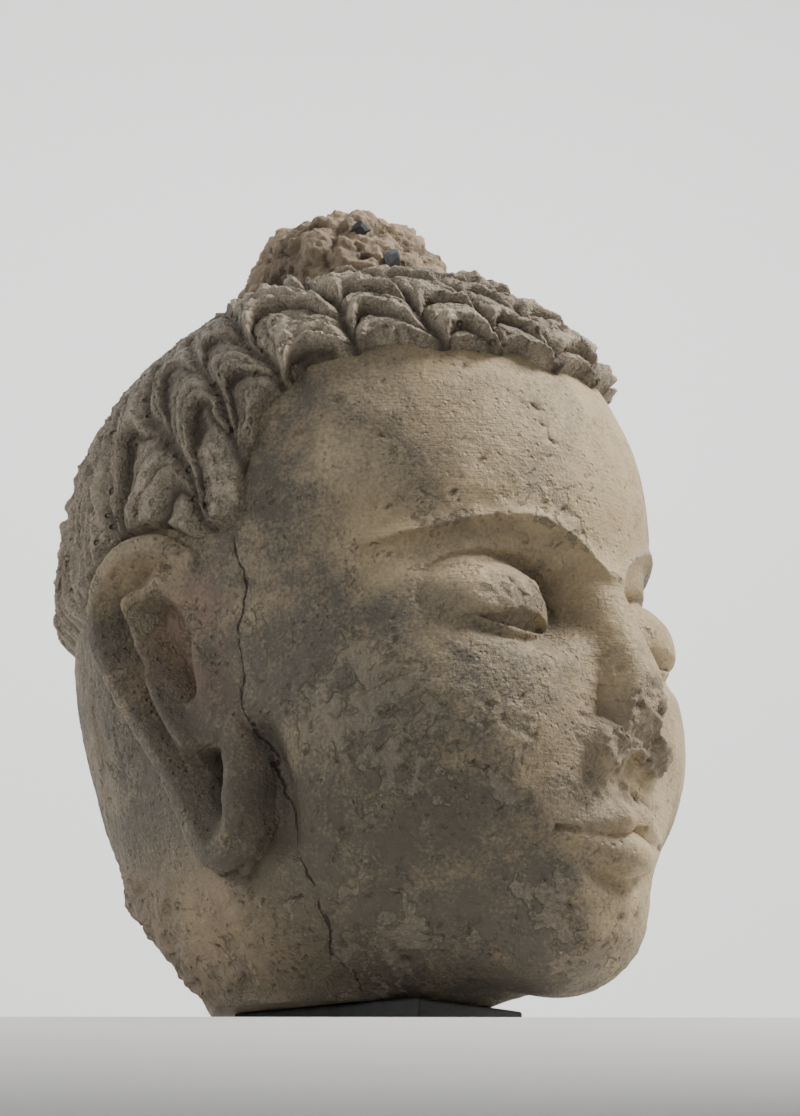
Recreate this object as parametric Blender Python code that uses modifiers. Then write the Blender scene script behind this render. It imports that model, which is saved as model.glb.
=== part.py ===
"""A stucco head broken off at the neck, with a worn topknot, rows of waved locks and long pierced ears,
resting on a low display block.

Frame: metres, +Z up, the face looks along -Y, and the origin is under the middle of the whole, on the
surface that the block stands on. The carving is worked out in head heights, shares of HEAD_HEIGHT: across
and back from the head's axis, and up from the chin.
"""

import bmesh
import bpy
import numpy as np

# Driving sizes, in metres
HEAD_HEIGHT = 0.354
CHIN_LIFT = 0.0215
LOCK_DEPTH = 0.0085
HAIR_THICKNESS = 0.0085
BLOCK_WIDTH = 0.080
BLOCK_DEPTH = 0.112
BLOCK_HEIGHT = 0.018
BLOCK_FORWARD = 0.008
BLOCK_EDGE = 0.0015
SEAT_GAP = 0.0003

# How far the head's axis stands behind the origin, in head heights
AXIS_BACK = 0.0042

# How finely the form is traced before it is thinned to its faces; the voxel is in head heights
SEGMENTS = 288
RINGS = 192
TRACE_VOXEL = 0.0068
HEAD_FACES = 9300
TRACE_STEPS = 34

# Where the neck is cut off flat over the block, in head heights
SEAT = (BLOCK_HEIGHT + SEAT_GAP - CHIN_LIFT) / HEAD_HEIGHT

# The two inner points that the form is traced from and laid out about, in head heights
TRACE_CENTRE = np.array([0.0, 0.02, 0.46])
HAIR_CENTRE = np.array([0.0, 0.03, 0.60])
WHORL_TILT = np.radians(22.0)

# Edges of the columns of locks, in degrees round the whorl from the middle of the forehead
COLUMN_EDGES = np.array([-5.6, 5.6, 15.0, 26.4, 41.0, 59.0, 70.0, 81.0, 94.0, 109.0, 126.0, 144.0,
                         162.0, 180.0])
COLUMN_SHIFTS = np.array([0.35, 0.05, 0.55, 0.20, 0.70, 0.40, 0.10, 0.60, 0.30, 0.80, 0.15, 0.50, 0.90])

# Paths on the side of the head, as (back, up) in head heights
EAR_RIM = [(0.022, 0.552), (0.070, 0.578), (0.130, 0.570), (0.172, 0.524), (0.166, 0.460), (0.136, 0.396),
           (0.095, 0.334), (0.055, 0.280), (0.019, 0.222), (-0.007, 0.170), (-0.039, 0.143),
           (-0.067, 0.166), (-0.073, 0.215), (-0.061, 0.272), (-0.039, 0.318)]
EAR_FOLD = [(0.120, 0.520), (0.098, 0.465), (0.072, 0.408), (0.044, 0.350), (0.014, 0.304)]
EAR_CHANNEL = [(0.100, 0.545), (0.140, 0.515), (0.133, 0.455), (0.103, 0.395), (0.067, 0.335)]
EAR_BOWL = [(0.072, 0.475), (0.052, 0.430), (0.028, 0.385)]
EAR_PLATE = [(0.085, 0.500), (0.017, 0.330)]
LOBE_SLIT = [(-0.015, 0.286), (-0.025, 0.236), (-0.039, 0.190)]
JAW_HOLLOW = [(-0.085, 0.300), (-0.111, 0.236), (-0.113, 0.180)]


def smooth_step(low, high, value):
    """Rises from 0 to 1 between low and high, level at both ends."""
    t = np.clip((value - low) / (high - low), 0.0, 1.0)
    return t * t * (3.0 - 2.0 * t)


def join(a, b, blend):
    """The nearer of two distances, rounded over where they are within blend of each other."""
    near = np.maximum(blend - np.abs(a - b), 0.0) / blend
    return np.minimum(a, b) - near * near * blend / 4.0


def carve(a, b, blend):
    """Distance a with the inside of b taken away, rounded over by blend."""
    return -join(-a, b, blend)


def ball(p, centre, radii):
    """Distance to an ellipsoid, exact near its surface."""
    q = (p - np.array(centre)) / np.array(radii)
    inner = np.sqrt((q * q).sum(1)) + 1e-9
    slope = np.sqrt(((q / np.array(radii)) ** 2).sum(1)) + 1e-9
    return inner * (inner - 1.0) / slope


def rod(p, start, end, start_radius, end_radius):
    """Distance to a round rod: two spheres and the cone that touches both."""
    start, end = np.array(start), np.array(end)
    length = np.linalg.norm(end - start)
    along = (p - start) @ (end - start) / length
    gap = p - start - along[:, None] * (end - start) / length
    out = np.sqrt((gap * gap).sum(1))
    taper = (start_radius - end_radius) / length
    flat = np.sqrt(1.0 - taper * taper)
    place = along * flat - out * taper
    side = out * flat + along * taper - start_radius
    first = np.hypot(out, along) - start_radius
    last = np.hypot(out, along - length) - end_radius
    return np.where(place < 0.0, first, np.where(place > flat * length, last, side))


def beside(path, back, up):
    """Distance from each point to a path on the side of the head, and the nearest place's share of it."""
    nodes = np.array(path)
    lengths = np.sqrt((np.diff(nodes, axis=0) ** 2).sum(1))
    reached = np.concatenate([[0.0], np.cumsum(lengths)])
    best = np.full(len(back), 9.0)
    share = np.zeros(len(back))
    for index, length in enumerate(lengths):
        step = (nodes[index + 1] - nodes[index]) / length
        along = np.clip((back - nodes[index, 0]) * step[0] + (up - nodes[index, 1]) * step[1], 0.0, length)
        gap = np.hypot(back - nodes[index, 0] - along * step[0], up - nodes[index, 1] - along * step[1])
        closer = gap < best
        best = np.where(closer, gap, best)
        share = np.where(closer, (reached[index] + along) / reached[-1], share)
    return best, share


def rounded(path, points_per_leg=4):
    """A path with its corners rounded: points read from a smooth curve through the given ones."""
    p = np.array([path[0], *path, path[-1]])
    t = np.linspace(0.0, 1.0, points_per_leg, endpoint=False)[:, None]
    legs = []
    for a, b, c, d in zip(p[:-3], p[1:-2], p[2:-1], p[3:]):
        bend = (2 * a - 5 * b + 4 * c - d) * t ** 2 + (3 * b - a - 3 * c + d) * t ** 3
        legs.append(0.5 * (2 * b + (c - a) * t + bend))
    return np.concatenate([*legs, [path[-1]]])


def waves(p, seed, scale):
    """Even, seeded unevenness between -1 and 1: a sum of slanted sine waves of about one wavelength."""
    rng = np.random.default_rng(seed)
    total = np.zeros(len(p))
    for _ in range(7):
        heading = rng.normal(size=3)
        heading *= rng.uniform(0.7, 1.5) / (np.linalg.norm(heading) * scale)
        total += np.sin(2.0 * np.pi * (p @ heading) + rng.uniform(0.0, 2.0 * np.pi))
    return total / 4.0


def ear_relief(back, up):
    """How far the ear stands out: rim, plate, fold and lobe up, channel, bowl, slit and hollow down."""
    gap, along = beside(rounded(EAR_RIM), back, up)
    wide = np.interp(along, [0.0, 0.15, 0.35, 0.60, 0.74, 0.85, 1.0],
                     [0.020, 0.024, 0.022, 0.022, 0.028, 0.024, 0.026])
    tall = np.interp(along, [0.0, 0.12, 0.30, 0.50, 0.74, 0.88, 1.0],
                     [0.010, 0.045, 0.060, 0.050, 0.052, 0.046, 0.012])
    rim = tall * np.sqrt(np.clip(1.0 - (gap / wide) ** 2, 0.0, 1.0))
    gap, along = beside(rounded(EAR_FOLD), back, up)
    fold = np.interp(along, [0.0, 0.3, 0.8, 1.0], [0.022, 0.036, 0.034, 0.026])
    fold = fold * np.exp(-(gap / 0.020) ** 2)
    plate_gap, _ = beside(EAR_PLATE, back, up)
    plate = 0.018 * smooth_step(0.075, 0.030, plate_gap)
    gap, _ = beside(rounded(EAR_CHANNEL), back, up)
    channel = 0.020 * np.exp(-(gap / 0.015) ** 2)
    gap, _ = beside(rounded(EAR_BOWL), back, up)
    bowl = 0.052 * np.exp(-(gap / 0.022) ** 2)
    gap, _ = beside(rounded(LOBE_SLIT), back, up)
    slit = 0.050 * smooth_step(0.017, 0.006, gap)
    gap, _ = beside(rounded(JAW_HOLLOW), back, up)
    hollow = 0.034 * np.exp(-(gap / 0.028) ** 2)
    return np.maximum(rim, plate + fold - channel) - bowl - slit - hollow


def ear_cover(p):
    """1 on the ears and 0 off them, so that the hair stops at the rim."""
    cover = np.zeros(len(p))
    near = (np.abs(p[:, 0]) > 0.2) & (np.abs(p[:, 1]) < 0.26) & (p[:, 2] < 0.66)
    back, up = p[near, 1], p[near, 2]
    rim_gap, _ = beside(rounded(EAR_RIM), back, up)
    plate_gap, _ = beside(EAR_PLATE, back, up)
    cover[near] = np.maximum(smooth_step(0.034, 0.020, rim_gap), smooth_step(0.085, 0.060, plate_gap))
    return cover


def brow_height(side):
    """How high the brow's arc runs, from the root of the nose out to the temple."""
    return 0.528 + 0.060 * np.sin(np.pi * np.clip((side - 0.012) / 0.310, 0.0, 1.0) ** 0.80)


def eye(q):
    """Distance to a half closed eye: a ball under an upper and a lower lid that meet at its corners."""
    centre = np.array([0.142, -0.304, 0.468])
    share = np.clip(1.0 - ((q[:, 0] - centre[0]) / 0.072) ** 2, -1.0, 1.0)
    eyeball = ball(q, centre, (0.086, 0.076, 0.060))
    upper_edge = 0.450 + 0.010 * share
    lower_edge = 0.450 - 0.012 * share
    upper = carve(eyeball - 0.0120, q[:, 2] - upper_edge, 0.004)
    lower = carve(eyeball - 0.0090, lower_edge - q[:, 2], 0.004)
    return np.minimum(eyeball, np.minimum(upper, lower))


def nose(q):
    """Distance to the nose: a straight bridge, a rounded tip and a wing."""
    bridge = rod(q, (0.0, -0.394, 0.525), (0.0, -0.476, 0.322), 0.021, 0.033)
    tip = ball(q, (0.0, -0.494, 0.311), (0.034, 0.034, 0.030))
    wing = ball(q, (0.039, -0.446, 0.296), (0.028, 0.043, 0.025))
    return join(join(bridge, tip, 0.020), wing, 0.014)


def nose_break(p):
    """Distance to what is broken off the nose: all before a rough slope from mid bridge to the upper lip."""
    slope = p[:, 1] + 0.440 + 0.300 * (p[:, 2] - 0.245)
    lumpy = slope - 0.0050 * waves(p, 21, 0.050) - 0.0025 * waves(p, 22, 0.022)
    return np.maximum(lumpy, 0.236 - p[:, 2])


def lips(q):
    """Distance to the lips: a bowed upper lip and a fuller lower one."""
    upper = rod(q, (0.018, -0.434, 0.204), (0.094, -0.404, 0.190), 0.0190, 0.0085)
    lower = rod(q, (0.0, -0.434, 0.162), (0.074, -0.408, 0.176), 0.0225, 0.0100)
    return join(upper, lower, 0.004)


def body(p):
    """Distance to the head without its hair: skull, neck, face and ears, mirrored at the middle."""
    side = np.sqrt(p[:, 0] ** 2 + 0.006 ** 2) - 0.006
    q = np.stack([side, p[:, 1], p[:, 2]], 1)
    back, up = q[:, 1], q[:, 2]

    form = ball(q, (0.0, 0.010, 0.618), (0.332, 0.424, 0.388))
    neck = rod(q * [1.25, 1.0, 1.0], (0.0, 0.060, 0.235), (0.0, 0.030, 0.465), 0.316, 0.406)
    form = join(form, neck, 0.06)
    face = ball(q, (0.0, -0.122, 0.335), (0.292, 0.300, 0.328))
    face = join(face, ball(q, (0.125, -0.220, 0.330), (0.152, 0.170, 0.180)), 0.10)
    face = join(face, ball(q, (0.180, -0.060, 0.240), (0.125, 0.190, 0.180)), 0.08)
    form = join(form, face, 0.06)
    form = join(form, ball(q, (0.0, -0.350, 0.190), (0.120, 0.080, 0.100)), 0.07)
    form = join(form, rod(q, (0.0, -0.300, 0.090), (0.160, -0.110, 0.170), 0.086, 0.112), 0.08)
    form = join(form, ball(q, (0.0, -0.338, 0.082), (0.092, 0.074, 0.072)), 0.07)

    front = back < -0.15
    seen = q[front]
    features = carve(form[front], ball(seen, (0.152, -0.436, 0.482), (0.128, 0.118, 0.070)), 0.026)
    features = join(features, eye(seen), 0.010)
    features = join(features, nose(seen), 0.034)
    features = carve(features, nose_break(p[front]), 0.006)
    features = carve(features, ball(seen, (0.024, -0.450, 0.266), (0.012, 0.018, 0.014)), 0.006)
    features = carve(features, rod(seen, (0.0, -0.452, 0.262), (0.0, -0.450, 0.222), 0.006, 0.009), 0.012)
    features = carve(features, rod(seen, (0.0, -0.450, 0.136), (0.050, -0.432, 0.138), 0.016, 0.008), 0.030)
    features = join(features, lips(seen), 0.012)
    features = carve(features, ball(seen, (0.0, -0.468, 0.222), (0.026, 0.020, 0.014)), 0.008)
    features = carve(features, ball(seen, (0.106, -0.402, 0.184), (0.007, 0.010, 0.006)), 0.010)
    ridge = np.exp(-((seen[:, 2] - brow_height(seen[:, 0])) / 0.011) ** 2)
    ridge = ridge * smooth_step(0.330, 0.270, seen[:, 0]) * smooth_step(-0.15, -0.22, seen[:, 1])
    form[front] = features - 0.0060 * ridge

    near = (side > 0.17) & (np.abs(back) < 0.24) & (up > 0.05) & (up < 0.66)
    relief = ear_relief(back[near], up[near])
    form[near] -= relief * smooth_step(0.17, 0.24, side[near])

    # The topknot, broken off low, and the break under the neck
    top = up > 0.85
    high = p[top]
    lumps = waves(high, 5, 0.075) + 0.5 * waves(high, 6, 0.035)
    topknot = ball(high, (0.0, 0.035, 0.985), (0.150, 0.150, 0.140)) - 0.0065 * lumps
    form[top] = join(form[top], topknot, 0.03)
    low = up < 0.14
    outward = 0.50 * side[low] + 0.866 * back[low]
    broken = (outward - 0.212) * 0.767 - up[low] * 0.642 + 0.006 * waves(p[low], 8, 0.06)
    form[low] = carve(form[low], -broken, 0.02)
    return np.maximum(form, SEAT - up)


def hair_depth(p):
    """How far inside the hair a point is: past the line over the forehead and down the temple."""
    side = np.abs(p[:, 0])
    over_brow = p[:, 2] - (0.805 + 0.09 * side) - 0.004 * np.cos(p[:, 0] * 60.0)
    behind_temple = p[:, 1] + 0.066
    return -join(-over_brow, -behind_temple, 0.20)


def lock_pattern(p):
    """Waved locks in columns: each is a stack of arches whose legs run down into the grooves beside it.

    Gives the relief from 0 in the grooves to 1 on the crests, and how much of the hair's mass stands
    there."""
    depth = hair_depth(p)
    d = p - HAIR_CENTRE
    ahead = -d[:, 1] * np.cos(WHORL_TILT) + d[:, 2] * np.sin(WHORL_TILT)
    turn = np.degrees(np.arctan2(np.abs(d[:, 0]), ahead))
    turn = turn + 1.2 * waves(p, 11, 0.16)
    sweep = 17.0 * smooth_step(42.0, 74.0, turn) * smooth_step(0.0, 0.30, depth)
    place = np.clip(turn - sweep, -5.5, 179.9)
    column = np.clip(np.searchsorted(COLUMN_EDGES, place) - 1, 0, len(COLUMN_EDGES) - 2)
    low, high = COLUMN_EDGES[column], COLUMN_EDGES[column + 1]
    across = (place - low) / (high - low) * 2.0 - 1.0
    lean = np.where(column == 0, 0.0, 0.22)
    across = np.where(across > lean, (across - lean) / (1.0 - lean), (across - lean) / (1.0 + lean))
    spacing = np.interp(place, [0.0, 35.0, 50.0, 66.0, 180.0], [0.053, 0.056, 0.074, 0.092, 0.088])
    reach = np.interp(place, [0.0, 30.0, 60.0, 95.0, 180.0], [1.00, 1.15, 1.30, 1.30, 1.00])
    arch = reach * (1.0 - np.sqrt(1.0 - 0.97 * across * across))
    phase = depth / spacing + arch + COLUMN_SHIFTS[column] + 0.14 * waves(p, 12, 0.09)
    part = phase - np.floor(phase)
    crest = smooth_step(0.0, 0.24, part) * (1.0 - 0.80 * smooth_step(0.24, 1.0, part))
    eye_hollow = np.where(column < 4, 0.10, 0.30) * np.exp(-(across / 0.50) ** 2)
    crest = crest - eye_hollow * smooth_step(0.60, 0.95, part)
    groove = 1.0 - 0.55 * np.exp(-((1.0 - np.abs(across)) / 0.16) ** 2)
    relief = (0.16 + 0.84 * crest) * groove
    streaks = 0.5 + 0.5 * np.sin(turn * 0.9 + 2.0 * waves(p, 13, 0.2))
    plain = smooth_step(96.0, 128.0, turn) * 0.65
    relief = relief * (1.0 - plain) + plain * (0.35 + 0.4 * streaks)
    nape = smooth_step(0.475, 0.560, p[:, 2] + 0.012 * waves(p, 14, 0.1))
    mass = smooth_step(-0.004, 0.016, depth) * nape
    off_knot = np.hypot(p[:, 0], p[:, 1] - 0.05) + 0.3 * np.maximum(0.9 - p[:, 2], 0.0)
    knot = smooth_step(0.150, 0.195, off_knot)
    return relief * (0.35 + 0.65 * knot), mass * (0.2 + 0.8 * knot)


def traced(directions):
    """Where rays from inside the head leave it: each marches in from outside by the distance left."""
    reach = np.full(len(directions), 0.85)
    for _ in range(TRACE_STEPS):
        reach = reach - 0.8 * np.clip(body(TRACE_CENTRE + directions * reach[:, None]), -0.02, 0.2)
        reach = np.maximum(reach, 0.05)
    return TRACE_CENTRE + directions * reach[:, None]


def vertex_normals(points, faces):
    """Outward normal at each vertex, from the faces round it."""
    a, b, c = (points[faces[:, i]] for i in range(3))
    across = np.cross(b - a, c - a)
    normals = np.zeros_like(points)
    for corner in range(3):
        np.add.at(normals, faces[:, corner], across)
    return normals / (np.linalg.norm(normals, axis=1, keepdims=True) + 1e-12)


def combed(points, normals):
    """Adds the hair to the traced head: its mass, and its locks leaning down towards the hairline."""
    relief, mass = lock_pattern(points)
    mass *= 1.0 - ear_cover(points)
    lift = mass * (HAIR_THICKNESS + LOCK_DEPTH * (relief - 0.55)) / HEAD_HEIGHT
    lift *= smooth_step(SEAT, SEAT + 0.05, points[:, 2])
    lean = 0.30 * mass * relief * LOCK_DEPTH / HEAD_HEIGHT
    down = np.tile([0.0, -0.35, -0.75], (len(points), 1))
    down -= (down * normals).sum(1, keepdims=True) * normals
    return points + normals * lift[:, None] + down * lean[:, None]


def plain_material(name, colour, roughness):
    """A plain surface of one colour."""
    material = bpy.data.materials.new(name)
    material.use_nodes = True
    shader = material.node_tree.nodes["Principled BSDF"]
    shader.inputs["Base Color"].default_value = colour
    shader.inputs["Roughness"].default_value = roughness
    return material


def in_collection(obj, name):
    """Puts an object in the named collection, which is made when it is first asked for."""
    collection = bpy.data.collections.get(name)
    if collection is None:
        collection = bpy.data.collections.new(name)
        bpy.context.scene.collection.children.link(collection)
    for old in list(obj.users_collection):
        old.objects.unlink(obj)
    collection.objects.link(obj)


def make_head():
    """A sphere whose vertices are moved to the head's form, made even and then thinned to its faces."""
    sphere = bmesh.new()
    bmesh.ops.create_uvsphere(sphere, u_segments=SEGMENTS, v_segments=RINGS, radius=1.0)
    bmesh.ops.triangulate(sphere, faces=sphere.faces)
    mesh = bpy.data.meshes.new("buddha_head")
    sphere.to_mesh(mesh)
    sphere.free()
    directions = np.empty(len(mesh.vertices) * 3)
    mesh.vertices.foreach_get("co", directions)
    directions = directions.reshape(-1, 3)
    corners = np.empty(len(mesh.polygons) * 3, dtype=np.int64)
    mesh.polygons.foreach_get("vertices", corners)
    points = traced(directions / np.linalg.norm(directions, axis=1, keepdims=True))
    points = combed(points, vertex_normals(points, corners.reshape(-1, 3)))
    placed = points * HEAD_HEIGHT + np.array([0.0, AXIS_BACK * HEAD_HEIGHT, CHIN_LIFT])
    mesh.vertices.foreach_set("co", placed.ravel())
    mesh.update()

    head = bpy.data.objects.new("buddha_head", mesh)
    bpy.context.scene.collection.objects.link(head)
    even = head.modifiers.new("even", "REMESH")
    even.mode = "VOXEL"
    even.voxel_size = TRACE_VOXEL * HEAD_HEIGHT
    calm = head.modifiers.new("calm", "SMOOTH")
    calm.factor = 0.5
    calm.iterations = 2
    faces = evaluated_triangles(head)
    thin = head.modifiers.new("thin", "DECIMATE")
    thin.ratio = HEAD_FACES / faces
    mesh.materials.append(plain_material("stucco", (0.42, 0.32, 0.22, 1.0), 0.9))
    in_collection(head, "stucco_head")
    return head


def evaluated_triangles(obj):
    """How many triangles an object has with its modifiers."""
    found = obj.evaluated_get(bpy.context.evaluated_depsgraph_get()).to_mesh()
    count = sum(len(face.vertices) - 2 for face in found.polygons)
    obj.evaluated_get(bpy.context.evaluated_depsgraph_get()).to_mesh_clear()
    return count


def make_block():
    """The low block under the neck, with its edges eased."""
    back = AXIS_BACK * HEAD_HEIGHT - BLOCK_FORWARD
    bpy.ops.mesh.primitive_cube_add(size=1.0, location=(0.0, back, BLOCK_HEIGHT / 2))
    block = bpy.context.object
    block.name = "support_block"
    block.data.name = "support_block"
    block.scale = (BLOCK_WIDTH, BLOCK_DEPTH, BLOCK_HEIGHT)
    bpy.ops.object.transform_apply(location=False, rotation=False, scale=True)
    eased = block.modifiers.new("eased", "BEVEL")
    eased.width = min(BLOCK_EDGE, 0.3 * BLOCK_HEIGHT)
    eased.segments = 3
    block.data.materials.append(plain_material("black_paint", (0.02, 0.02, 0.022, 1.0), 0.5))
    in_collection(block, "stucco_head")
    return block


def main():
    for obj in list(bpy.data.objects):
        bpy.data.objects.remove(obj, do_unlink=True)
    make_head()
    make_block()


main()
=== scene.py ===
"""The looks of a stucco head broken off at the neck, on its low black block.

Three stucco surfaces stand for the head's solid: the face with the neck and the ears, the waved hair, and the
broken topknot. Each is worked out as whole arrays in head heights, shares of HEAD_HEIGHT measured across and
back from the head's axis and up from the chin, and then placed in metres.
"""

import bpy
import numpy as np
from mathutils import Matrix, Vector


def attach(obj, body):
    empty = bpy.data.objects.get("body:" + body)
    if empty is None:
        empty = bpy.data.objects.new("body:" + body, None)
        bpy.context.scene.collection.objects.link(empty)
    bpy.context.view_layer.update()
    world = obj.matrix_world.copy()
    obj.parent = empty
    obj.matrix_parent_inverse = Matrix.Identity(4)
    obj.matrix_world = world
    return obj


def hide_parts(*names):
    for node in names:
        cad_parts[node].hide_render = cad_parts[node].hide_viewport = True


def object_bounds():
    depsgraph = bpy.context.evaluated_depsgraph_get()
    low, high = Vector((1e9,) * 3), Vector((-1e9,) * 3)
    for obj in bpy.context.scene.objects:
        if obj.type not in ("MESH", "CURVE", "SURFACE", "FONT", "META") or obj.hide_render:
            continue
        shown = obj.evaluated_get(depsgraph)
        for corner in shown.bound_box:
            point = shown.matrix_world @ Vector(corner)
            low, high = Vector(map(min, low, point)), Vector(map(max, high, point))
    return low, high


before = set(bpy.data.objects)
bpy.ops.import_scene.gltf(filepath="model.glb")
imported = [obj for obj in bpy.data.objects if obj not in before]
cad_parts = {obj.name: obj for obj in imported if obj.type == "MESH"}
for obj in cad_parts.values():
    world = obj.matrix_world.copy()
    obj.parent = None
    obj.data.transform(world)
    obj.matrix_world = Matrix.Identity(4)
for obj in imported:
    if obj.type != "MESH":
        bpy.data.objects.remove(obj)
cad_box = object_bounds()

# Driving sizes, in metres, as in the part's own source
HEAD_HEIGHT = 0.354
CHIN_LIFT = 0.0215
LOCK_DEPTH = 0.0085
HAIR_THICKNESS = 0.0085
BLOCK_HEIGHT = 0.018
SEAT_GAP = 0.0003

# A millimetre, the shift of the axis and the block's seat, in head heights
MM = 0.001 / HEAD_HEIGHT
AXIS_BACK = 0.0042
SEAT = (BLOCK_HEIGHT + SEAT_GAP - CHIN_LIFT) / HEAD_HEIGHT

# Grids of rays, as rows from the top down and columns round. The head's is marched first at a quarter of that
# fineness, and STEEPEST is how much nearer than its neighbours a ray may end, in head heights
ROWS, COLUMNS = 660, 960
COARSE = 4
STEEPEST = 0.008
KNOT_ROWS, KNOT_COLUMNS = 360, 560
STONE_ROWS, STONE_COLUMNS = 26, 40

# Triangles that are left of each surface
FACE_TRIANGLES = 196000
HAIR_TRIANGLES = 196000
KNOT_TRIANGLES = 90000

# How far the bare head is sunk under the hair, and the hair's surface under the face, in millimetres
FACE_SUNK = 3.0
HAIR_SUNK = 3.2

# Where the rays start, what the whorl of the hair turns round and how far that leans back, and the topknot
TRACE_CENTRE = np.array([0.0, 0.02, 0.46], np.float32)
HAIR_CENTRE = np.array([0.0, 0.03, 0.60], np.float32)
WHORL_TILT = np.radians(22.0)
KNOT_CENTRE = np.array([0.0, 0.035, 0.985], np.float32)

# The eyeball
EYE_CENTRE = (0.142, -0.304, 0.468)
EYE_RADII = (0.086, 0.076, 0.060)

# Columns of locks: their edges, in degrees round the whorl from the middle of the forehead, how far the count
# of locks is shifted in each, and how many of them, at the front, have locks of two bands
COLUMN_EDGES = np.array([-5.6, 5.6, 15.0, 26.4, 41.0, 59.0, 70.0, 81.0, 94.0, 109.0, 126.0, 144.0,
                         162.0, 180.0], np.float32)
COLUMN_SHIFTS = np.array([0.35, 0.05, 0.55, 0.20, 0.70, 0.40, 0.10, 0.60, 0.30, 0.80, 0.15, 0.50, 0.90],
                         np.float32)
FRONT_COLUMNS = 4

# Numbers kept at each point of the face and neck, for its material
TONES = ("bare", "patina_and_shade", "pits", "flake", "crack", "ochre", "pink", "slate")

# How many random values a seeded table holds, a power of two
TABLE = 4096

# Paths on the side of the head, as (back, up)
EAR_RIM = [(0.022, 0.552), (0.070, 0.578), (0.130, 0.570), (0.172, 0.524), (0.166, 0.460), (0.136, 0.396),
           (0.095, 0.334), (0.055, 0.280), (0.019, 0.222), (-0.010, 0.176), (-0.040, 0.157),
           (-0.066, 0.173), (-0.073, 0.215), (-0.061, 0.272), (-0.039, 0.318)]
EAR_FOLD = [(0.120, 0.520), (0.098, 0.465), (0.072, 0.408), (0.044, 0.350), (0.014, 0.304)]
EAR_CHANNEL = [(0.100, 0.545), (0.140, 0.515), (0.133, 0.455), (0.103, 0.395), (0.067, 0.335)]
EAR_BOWL = [(0.072, 0.475), (0.052, 0.430), (0.028, 0.385)]
EAR_PLATE = [(0.085, 0.500), (0.017, 0.330)]
LOBE_SLIT = [(-0.015, 0.286), (-0.025, 0.236), (-0.039, 0.190)]
JAW_HOLLOW = [(-0.085, 0.300), (-0.111, 0.236), (-0.113, 0.180)]
CRACK = [(-0.052, 0.575), (-0.061, 0.540), (-0.070, 0.500), (-0.062, 0.463), (-0.055, 0.430), (-0.056, 0.399),
         (-0.064, 0.350), (-0.078, 0.307), (-0.098, 0.245), (-0.124, 0.187), (-0.140, 0.140), (-0.150, 0.099),
         (-0.142, 0.062), (-0.125, 0.033), (-0.105, 0.000)]


# Curves and solids, as distances

def eased(low, high, value):
    """Rises from 0 at low to 1 at high along an eased curve, and is level beyond them."""
    t = np.clip((value - low) / (high - low), 0.0, 1.0)
    return t * t * (3.0 - 2.0 * t)


def join(a, b, blend):
    """The nearer of two distances, rounded over where they are within blend of each other."""
    near = np.maximum(blend - np.abs(a - b), 0.0) / blend
    return np.minimum(a, b) - near * near * blend / 4.0


def carve(a, b, blend):
    """Distance a with the inside of b taken away, rounded over by blend."""
    return -join(-a, b, blend)


def ball(p, centre, radii):
    """Distance to an ellipsoid: the length of p over its radii, less one, over the slope of that length."""
    radii = np.array(radii, np.float32)
    q = (p - np.array(centre, np.float32)) / radii
    inner = np.sqrt(np.einsum("ij,ij->i", q, q)) + 1e-7
    q /= radii
    slope = np.sqrt(np.einsum("ij,ij->i", q, q)) + 1e-7
    return inner * (inner - 1.0) / slope


def rod(p, start, end, start_radius, end_radius):
    """Distance to a round rod: two spheres and the cone that touches both."""
    start, end = np.array(start, np.float32), np.array(end, np.float32)
    length = float(np.linalg.norm(end - start))
    heading = (end - start) / length
    along = (p - start) @ heading
    gap = p - start - along[:, None] * heading
    out = np.sqrt(np.einsum("ij,ij->i", gap, gap))
    taper = (start_radius - end_radius) / length
    flat = float(np.sqrt(1.0 - taper * taper))
    place = along * flat - out * taper
    side = out * flat + along * taper - start_radius
    first = np.hypot(out, along) - start_radius
    last = np.hypot(out, along - length) - end_radius
    return np.where(place < 0.0, first, np.where(place > flat * length, last, side))


def beside(path, back, up):
    """Distance from each point to a path on the side of the head, and the nearest place's share of it."""
    nodes = np.array(path, np.float32)
    lengths = np.sqrt((np.diff(nodes, axis=0) ** 2).sum(1))
    reached = np.concatenate([[0.0], np.cumsum(lengths)])
    best = np.full(len(back), 9.0, np.float32)
    share = np.zeros(len(back), np.float32)
    for index, length in enumerate(lengths):
        step = (nodes[index + 1] - nodes[index]) / length
        along = np.clip((back - nodes[index, 0]) * step[0] + (up - nodes[index, 1]) * step[1], 0.0, length)
        gap = np.hypot(back - nodes[index, 0] - along * step[0], up - nodes[index, 1] - along * step[1])
        closer = gap < best
        best = np.where(closer, gap, best)
        share = np.where(closer, (reached[index] + along) / reached[-1], share)
    return best, share


def rounded(path, points_per_leg=4):
    """A path with its corners rounded: points read from a smooth curve through the given ones."""
    p = np.array([path[0], *path, path[-1]])
    t = np.linspace(0.0, 1.0, points_per_leg, endpoint=False)[:, None]
    legs = []
    for a, b, c, d in zip(p[:-3], p[1:-2], p[2:-1], p[3:]):
        bend = (2 * a - 5 * b + 4 * c - d) * t ** 2 + (3 * b - a - 3 * c + d) * t ** 3
        legs.append(0.5 * (2 * b + (c - a) * t + bend))
    return np.concatenate([*legs, [path[-1]]])


# Seeded unevenness

def waves(p, seed, scale):
    """Even unevenness between -1 and 1: a sum of slanted sine waves of about one wavelength."""
    rng = np.random.default_rng(seed)
    total = np.zeros(len(p), np.float32)
    for _ in range(7):
        heading = rng.normal(size=3)
        heading *= rng.uniform(0.7, 1.5) / (np.linalg.norm(heading) * scale)
        turn = 2.0 * np.pi * heading
        total += np.sin(p @ turn.astype(np.float32) + np.float32(rng.uniform(0.0, 2.0 * np.pi)))
    return total / 4.0


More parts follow.
